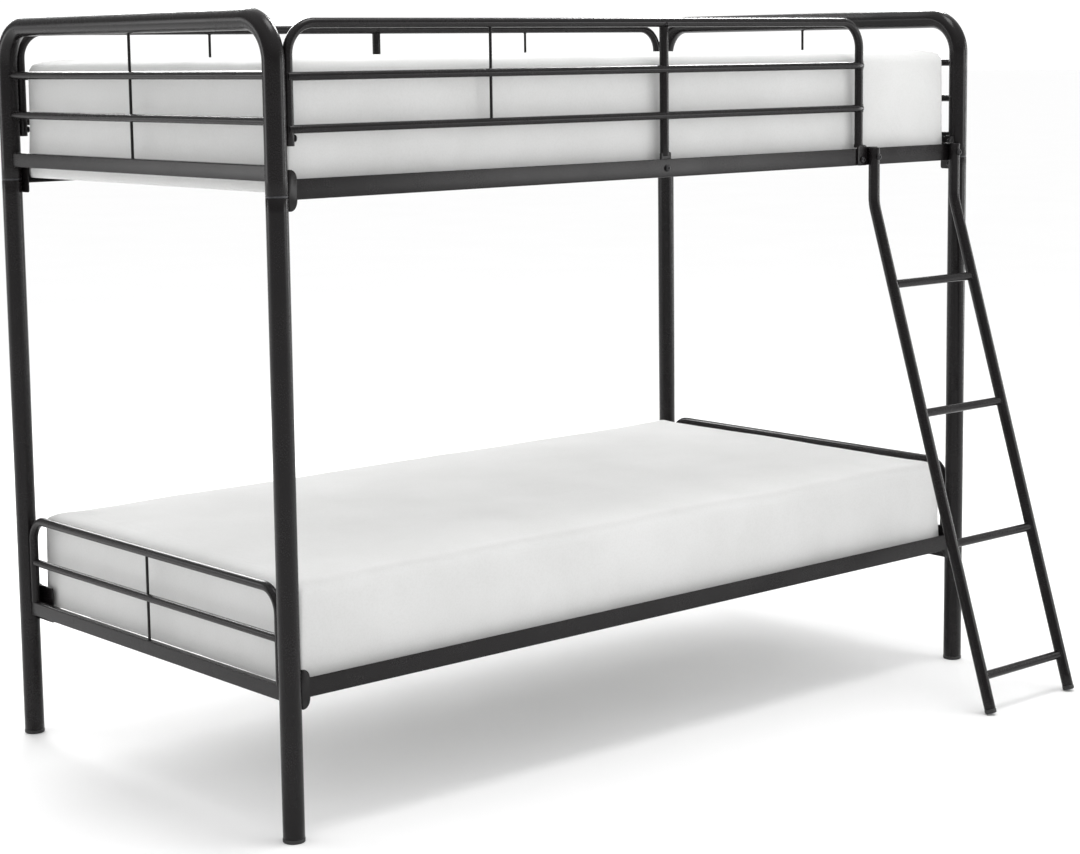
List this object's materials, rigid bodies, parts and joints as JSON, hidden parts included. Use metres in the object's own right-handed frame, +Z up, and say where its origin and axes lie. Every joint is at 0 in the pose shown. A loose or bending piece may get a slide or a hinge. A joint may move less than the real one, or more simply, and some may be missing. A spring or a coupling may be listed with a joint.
{
  "type": "bunk bed with ladder",
  "caption": "Metal bunk bed with tube end frames, side rails, guard rails, a sloping ladder and two mattresses.",
  "frame": {"origin": "on the floor, in the middle of the whole footprint, ladder included", "axes": "+X along the bed towards the ladder's end, +Y from the ladder side to the far side, +Z up"},
  "size_m": [1.9774, 1.388, 1.5534],
  "materials": {
    "frame": "satin",
    "sleeve": "satin",
    "cap": "matte",
    "bolt": "satin",
    "mattress": "matte"
  },
  "bodies": {
    "frame": {"lower_end_frame_left": "frame", "upper_end_frame_left": "frame", "lower_end_frame_right": "frame", "upper_end_frame_right": "frame", "lower_side_rail_front": "frame", "lower_side_rail_rear": "frame", "upper_side_rail_front": "frame", "upper_side_rail_rear": "frame", "lower_slat_1": "frame", "lower_slat_2": "frame", "lower_slat_3": "frame", "lower_slat_4": "frame", "lower_slat_5": "frame", "lower_slat_6": "frame", "upper_slat_1": "frame", "upper_slat_2": "frame", "upper_slat_3": "frame", "upper_slat_4": "frame", "upper_slat_5": "frame", "upper_slat_6": "frame", "front_guard_rail": "frame", "rear_guard_rail": "frame", "ladder": "frame", "post_sleeve_front_left": "sleeve", "post_sleeve_front_right": "sleeve", "post_sleeve_rear_left": "sleeve", "post_sleeve_rear_right": "sleeve", "foot_cap_front_left": "cap", "foot_cap_front_right": "cap", "foot_cap_rear_left": "cap", "foot_cap_rear_right": "cap", "ladder_foot_cap_left": "cap", "ladder_foot_cap_right": "cap", "lower_rail_bolt_front_left_1": "bolt", "lower_rail_bolt_front_left_2": "bolt", "lower_rail_bolt_front_right_1": "bolt", "lower_rail_bolt_front_right_2": "bolt", "lower_rail_bolt_rear_left_1": "bolt", "lower_rail_bolt_rear_left_2": "bolt", "lower_rail_bolt_rear_right_1": "bolt", "lower_rail_bolt_rear_right_2": "bolt", "upper_rail_bolt_front_left_1": "bolt", "upper_rail_bolt_front_left_2": "bolt", "upper_rail_bolt_front_right_1": "bolt", "upper_rail_bolt_front_right_2": "bolt", "upper_rail_bolt_rear_left_1": "bolt", "upper_rail_bolt_rear_left_2": "bolt", "upper_rail_bolt_rear_right_1": "bolt", "upper_rail_bolt_rear_right_2": "bolt", "guard_post_bolt_front_left": "bolt", "guard_post_bolt_rear_left": "bolt", "guard_post_bolt_rear_right": "bolt", "guard_middle_bolt_front": "bolt", "guard_middle_bolt_rear": "bolt", "guard_tab_bolt": "bolt", "ladder_bolt_left": "bolt", "ladder_bolt_right": "bolt"},
    "lower_mattress_body": {"lower_mattress": "mattress"},
    "upper_mattress_body": {"upper_mattress": "mattress"}
  },
  "joints": [
    {"name": "lower_mattress_lift", "type": "slide", "parent": "frame", "child": "lower_mattress_body", "axis": [0, 0, 1], "range_m": [0, 0.25]},
    {"name": "upper_mattress_lift", "type": "slide", "parent": "frame", "child": "upper_mattress_body", "axis": [0, 0, 1], "range_m": [0, 0.3]}
  ]
}
